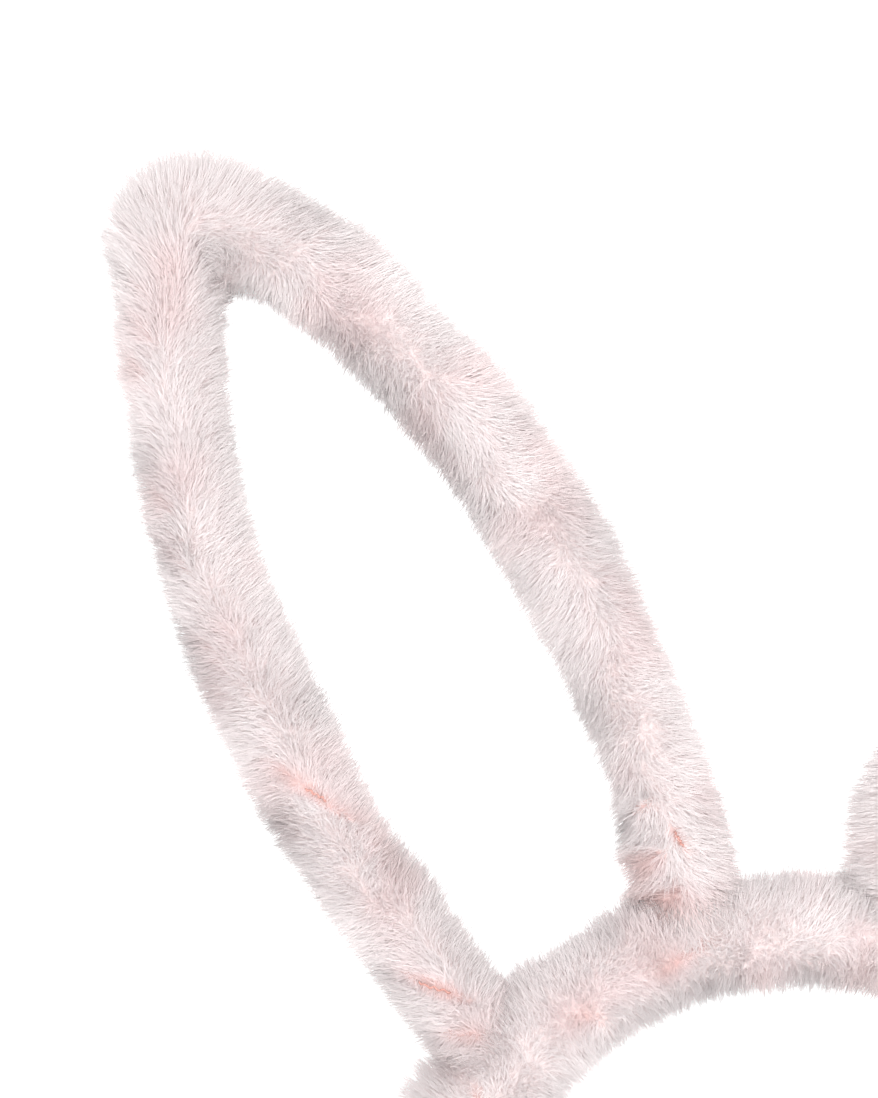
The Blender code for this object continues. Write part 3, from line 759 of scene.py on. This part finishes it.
def stitch_mesh(name, sleeve, crease, reach, material):
    """A short run of thread that zigzags along the bottom of a crease."""
    count = 40
    distance, turn = crease.places(reach * MM, count)
    sway = THREAD_SWAY * np.sin(np.linspace(0, 7 * math.pi, count))
    distance = distance - sway * crease.around
    turn = turn + sway * crease.along / SLEEVE_RADIUS
    place, _, outward, _ = sleeve.frame_at(distance, turn)
    rise = THREAD_RISE + THREAD_WAVE * np.sin(np.linspace(0, 11 * math.pi, count))
    ends = np.linspace(-1, 1, count) ** 4
    height = sleeve.radius_at(distance, turn) + rise * (1 - 0.6 * ends)
    points = place + outward * height[:, None]
    run = unit(np.gradient(points, axis=0))
    side = unit(np.cross(run, outward))
    face = np.cross(side, run)
    rings = []
    angle = np.arange(THREAD_SPOKES)[:, None] * 2 * math.pi / THREAD_SPOKES
    for n in range(count):
        spokes = side[n] * np.cos(angle) + face[n] * np.sin(angle)
        rings.append(points[n] + spokes * THREAD_RADIUS)
    return tube_mesh(name, rings, material, closed=True)


class Carrier:
    """What moves a piece: one body that it hangs from, or two that a joint joins, where the piece
    is left in place.
    """

    def __init__(self, *bodies, start=None, end=None):
        self.bodies, self.start, self.end = bodies, start, end

    def take(self, piece):
        if len(self.bodies) == 1:
            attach(piece, self.bodies[0])
        else:
            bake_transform(piece)


class Stretch:
    """The part of a sleeve between two marks, with what carries it and the CAD nodes it shows."""

    def __init__(self, name, start, end, carrier, nodes):
        self.name, self.start, self.end = name, start, end
        self.carrier, self.nodes = carrier, nodes


class Ear:
    """One ear's loop, its two feet and its fold."""

    def __init__(self, side_name):
        self.side_name, self.side = side_name, SIDES[side_name]
        feet = [limb_line(self.side, limb)[0] for limb in FOOT_ANGLES]
        self.line = ear_loop(self.side)
        self.root = (feet[0] + feet[1]) / 2
        spread = unit(feet[0] - feet[1])
        self.up = self.side * np.array([-spread[2], 0, spread[0]])
        self.heights = (self.line.points - self.root) @ self.up
        self.fold = self.line.at(np.array(self.marks_at(FOLD_HEIGHT)))[0].mean(0)

    def marks_at(self, height):
        """Where the outer and the inner limb reach a height above the line through the feet."""
        above = self.line.marks[self.heights >= height]
        return above[0], above[-1]

    def stretches(self):
        lower, upper = f"{self.side_name}_ear_lower", f"{self.side_name}_ear_upper"
        at_root = Carrier(
            "crown",
            lower,
            start=self.root + self.up * ROOT_BEND[0],
            end=self.root + self.up * ROOT_BEND[1],
        )
        at_fold = Carrier(
            lower,
            upper,
            start=self.fold - self.up * FOLD_BEND,
            end=self.fold + self.up * FOLD_BEND,
        )
        low, high = self.marks_at(LOWER_TOP), self.marks_at(UPPER_BASE)
        return [
            Stretch("outer_foot", 0, low[0], at_root, ["outer_lower"]),
            Stretch("outer_middle", low[0], high[0], at_fold, ["outer_lower", "upper"]),
            Stretch("top", high[0], high[1], Carrier(upper), ["upper"]),
            Stretch("inner_middle", high[1], low[1], at_fold, ["inner_lower", "upper"]),
            Stretch("inner_foot", low[1], self.line.length, at_root, ["inner_lower"]),
        ]


def band_stretches(line):
    """The crown, and the legs, each carried by the crown and its leg, which meet at its hinge."""
    middle = line.length / 2
    ends = middle - CROWN_REACH, middle + CROWN_REACH
    found = [Stretch("crown", *ends, Carrier("crown"), ["crown"])]
    for side_name, side in SIDES.items():
        hinge, along = line.at(np.array([middle + side * LEG_HINGE]))
        down = along[0] * side
        carrier = Carrier(
            "crown",
            f"leg_{side_name}",
            start=hinge[0] - down * LEG_BEND,
            end=hinge[0] + down * LEG_BEND,
        )
        marks = sorted((middle + side * CROWN_REACH, middle + side * middle))
        found.append(Stretch(f"leg_{side_name}", *marks, carrier, [f"leg_{side_name}"]))
    return found


def make_sleeve(stem, sleeve, stretches, foam_radius, allowed, materials):
    """The pile, the backing and the foam cord of a whole sleeve, in its stretches."""
    for number, stretch in enumerate(stretches):
        fibres = grow(sleeve, stretch.start, stretch.end, sleeve.seed + 100 + number, allowed)
        for mark, onward in ((0, -1), (sleeve.line.length, 1)):
            if stem == "band" and mark in (stretch.start, stretch.end):
                more = grow_end(sleeve, mark, onward, sleeve.seed + 200 + number)
                fibres = [np.concatenate(pair) for pair in zip(fibres, more)]
        pile = pile_mesh(f"{stem}_pile_{stretch.name}", fibres, number, materials["pile"])
        marks = stretch.start, stretch.end
        backing = sleeve_tube(
            f"{stem}_backing_{stretch.name}", sleeve, *marks, materials["backing"]
        )
        foam = sleeve_tube(
            f"{stem}_foam_{stretch.name}", sleeve, *marks, materials["foam"], foam_radius
        )
        for piece, slot in ((pile, "plush_fur"), (backing, "plush_fur"), (foam, "foam_cord")):
            stretch.carrier.take(piece)
        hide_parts(*(f"{stem}_fur_{node}" for node in stretch.nodes))
        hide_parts(*(f"{stem}_padding_{node}" for node in stretch.nodes))


def make_stitches(stem, sleeve, stretches, stitches, material):
    """The threads that show at the bottoms of creases, as (number of the crease, reach)."""
    for number, reach in stitches:
        crease = sleeve.creases[number]
        name = f"{stem}_stitches_{number}"
        piece = stitch_mesh(name, sleeve, crease, reach, material)
        home = [s for s in stretches if s.start <= crease.distance <= s.end][0]
        home.carrier.take(piece)


def ear_sleeve(ear):
    """The lie of one ear's pile, its creases and its swellings."""
    length = ear.line.length / MM
    left = ear.side_name == "left"
    # the second ear is sewn from the same pattern, but its fur settles a little differently
    shift, roll = (0, 0) if left else (5, -7)
    # the ones with a thread come first, then the small ones at the feet and two at the back
    creases = [
        Crease(65 + shift, -12 + roll, 13, 40, depth=0.85),
        Crease(22 + shift, 6 + roll, 9, 47, width=2.2),
        Crease(length - 21 - shift, 0 + roll, 4, 22, depth=0.8, width=1.8),
        Crease(12 + shift, 30 + roll, 9, 72, depth=0.7),
        Crease(length - 28 - shift, -55, 6, 100, depth=0.7),
        Crease(length - 18 - shift, -55, 6, 100, depth=0.7),
        Crease(length - 10 - shift, -50, 8, 100, depth=0.7),
        Crease(60 - shift, 190, 9, 120, depth=0.8),
        Crease(length - 60 + shift, 190, 10, 60, depth=0.7),
    ]
    # a row of small valleys on the outer side, from the tip down the outer limb
    for distance in (168, 161, 152, 143, 128, 116, 100):
        creases.append(Crease(distance + shift, 54 + roll, 5.5, 46, depth=0.55, width=2.3))
    bulges = [
        Bulge(4.4, length / 2, 12),
        Bulge(3.0, length / 2 + 24, 16, 60, 70),
        Bulge(2.2, length / 2 + 38, 9, 90, 60),
        Bulge(2.6, length / 2 + 63, 11, 90, 50),
        Bulge(2.2, 160, 16, 90, 57),
        Bulge(1.4, 92, 12, -90, 50),
        Bulge(1.0, 74, 8, -90, 50),
        Bulge(1.4, 38, 7, -90, 50),
        Bulge(2.8, length - 88, 20, 90, 50),
        Bulge(3.4, length - 12, 14, -90, 50),
        # the feet are drawn in, so that the band's own cloth covers them
        Bulge(-1.8, 0, 8),
        Bulge(-1.8, length, 8),
    ]
    if not left:
        bulges.append(Bulge(5, length - 26, 16, 75, 60))
    seed = 40 if left else 60
    return Sleeve(ear.line, ear.side, EAR_BACKING, EAR_PILE, EAR_NAP, seed, creases, bulges)


def make_sleeves(materials):
    """The band's sleeve and both ears' sleeves, each with its pile kept off the others' cloth."""
    line = whole_band()
    middle = line.length / 2 / MM
    creases = [
        Crease(middle - 72.5, 0, 7, 60, depth=0.9, width=2.0),
        Crease(middle - 22, 0, 8, 27, depth=0.7),
        Crease(middle - 44, -25, 5, 109, depth=0.6),
        Crease(middle + 30, 10, 8, 150, depth=0.7),
        Crease(middle + 70, -5, 7, 110, depth=0.8),
    ]
    bulges = [
        Bulge(5.5, middle - 75, 8, 90, 45),
        Bulge(2.6, middle - 51, 6, 90, 40),
        Bulge(2.4, middle - 30, 8, 90, 50),
        Bulge(1.2, middle, 14, 90, 60),
        Bulge(1.4, middle - 96, 20),
        Bulge(1.4, middle - 80, 40, -90, 60),
    ]
    band = Sleeve(line, -1, BAND_BACKING, BAND_PILE, BAND_NAP, 11, creases, bulges)
    ears = [Ear(side_name) for side_name in SIDES]

    def clear_of_ears(places, _):
        reaches = [(0, FOOT_REACH), (ears[0].line.length - FOOT_REACH, math.inf)]
        gaps = [ear.line.gap_to(places, *reach) for ear in ears for reach in reaches]
        return np.min(gaps, axis=0) > EAR_BACKING - FOOT_OVERLAP

    stretches = band_stretches(line)
    make_sleeve("band", band, stretches, BAND_FOAM, clear_of_ears, materials)
    make_stitches("band", band, stretches, [(0, 2.5)], materials["thread"])

    for ear in ears:

        def clear_of_rest(places, distance, ear=ear):
            half = ear.line.length / 2
            near = np.where(
                distance < half,
                ear.line.gap_to(places, half + TIP_CORNER, half + TIP_REACH),
                ear.line.gap_to(places, half - TIP_REACH, half - TIP_CORNER),
            )
            return (line.gap_to(places) > BAND_BACKING - FOOT_OVERLAP) & (near > EAR_BACKING)

        sleeve, stem = ear_sleeve(ear), f"{ear.side_name}_ear"
        stretches = ear.stretches()
        make_sleeve(stem, sleeve, stretches, EAR_FOAM, clear_of_rest, materials)
        shown = [(0, 2.6), (1, 3.8), (2, 1.6)] if ear.side < 0 else [(0, 2.0), (2, 2.2)]
        make_stitches(stem, sleeve, stretches, shown, materials["thread"])


def dress_hard_parts(materials):
    """Gives the CAD's own pieces of steel, wire, tape, plastic and knit their finishes."""
    for name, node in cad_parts.items():
        for word, material in (
            ("_core_", "steel"),
            ("_wire_", "wire"),
            ("_lashing_", "tape"),
            ("_cap_", "plastic"),
            ("_patch_", "backing"),
        ):
            if word in name:
                for slot in node.material_slots:
                    slot.material = materials[material]


def main():
    pinks = (0.84, 0.71, 0.7), (0.9, 0.79, 0.78)
    materials = {
        "pile": pile_material(),
        # the last colour is the painted shade that the backing takes in its creases
        "backing": woven("knitted_backing", *pinks, 160.0, crease_shade=(0.8, 0.66, 0.64)),
        "foam": foam_material(),
        "thread": thread_material(),
        "steel": grained(
            "spring_steel", (0.42, 0.42, 0.45), (0.58, 0.58, 0.6), 300.0, 0.32, 1.0, (1, 12, 1)
        ),
        "wire": grained("ear_wire", (0.66, 0.66, 0.69), (0.8, 0.8, 0.82), 900.0, 0.3, 1.0),
        "tape": woven("lashing_tape", (0.74, 0.71, 0.66), (0.9, 0.88, 0.84), 260.0),
        "plastic": grained("cap_plastic", (0.86, 0.78, 0.76), (0.92, 0.85, 0.83), 500.0, 0.5),
    }
    make_sleeves(materials)
    dress_hard_parts(materials)


# --- light and camera ----------------------------------------------------------------------------


def aimed(thing, place, target):
    """Places a lamp or a camera so that it looks at a target."""
    thing.location = place
    thing.rotation_euler = (Vector(target) - Vector(place)).to_track_quat("-Z", "Y").to_euler()
    bpy.context.scene.collection.objects.link(thing)


def studio_sky():
    """Soft white light from all round, a little stronger from the front and the right."""
    world = bpy.data.worlds.new("studio")
    bpy.context.scene.world = world
    world.use_nodes = True
    tree = world.node_tree
    way = tree.nodes.new("ShaderNodeTexCoord").outputs["Generated"]
    facing = add_node(tree, "ShaderNodeVectorMath", operation="DOT_PRODUCT")
    tree.links.new(way, facing.inputs[0])
    facing.inputs[1].default_value = SKY_FROM
    strength = add_node(tree, "ShaderNodeMapRange", interpolation_type="SMOOTHSTEP")
    tree.links.new(facing.outputs["Value"], strength.inputs["Value"])
    for name, value in zip(("From Min", "From Max", "To Min", "To Max"), (-1, 1, *SKY_STRENGTHS)):
        strength.inputs[name].default_value = value
    tree.links.new(strength.outputs["Result"], tree.nodes["Background"].inputs["Strength"])
    tree.nodes["Background"].inputs["Color"].default_value = (1, 1, 1, 1)


def set_stage():
    """A pale floor under the object, the sky, two soft lamps and the photograph's camera."""
    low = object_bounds()[0]
    bpy.ops.mesh.primitive_circle_add(
        vertices=96, radius=FLOOR_RADIUS, fill_type="NGON", location=(0, 0, low[2] - MM)
    )
    floor = bpy.context.object
    floor.name = "floor"
    material, _, shader = new_material("pale_floor", roughness=0.8)
    shader.inputs["Base Color"].default_value = (0.9, 0.9, 0.9, 1)
    floor.data.materials.append(material)

    studio_sky()
    bpy.context.scene.view_settings.view_transform = "Standard"
    for name, (energy, place) in LAMPS.items():
        lamp = bpy.data.lights.new(name, "AREA")
        lamp.size = LAMP_SIZE
        lamp.energy = energy
        aimed(bpy.data.objects.new(name, lamp), place, LAMP_TARGET)

    camera = bpy.data.cameras.new("camera")
    camera.lens = 100
    camera.sensor_width = 36
    view = bpy.data.objects.new("camera", camera)
    aimed(view, (CAMERA_TARGET[0], -CAMERA_DISTANCE, CAMERA_TARGET[2]), CAMERA_TARGET)
    bpy.context.scene.camera = view


main()
set_stage()
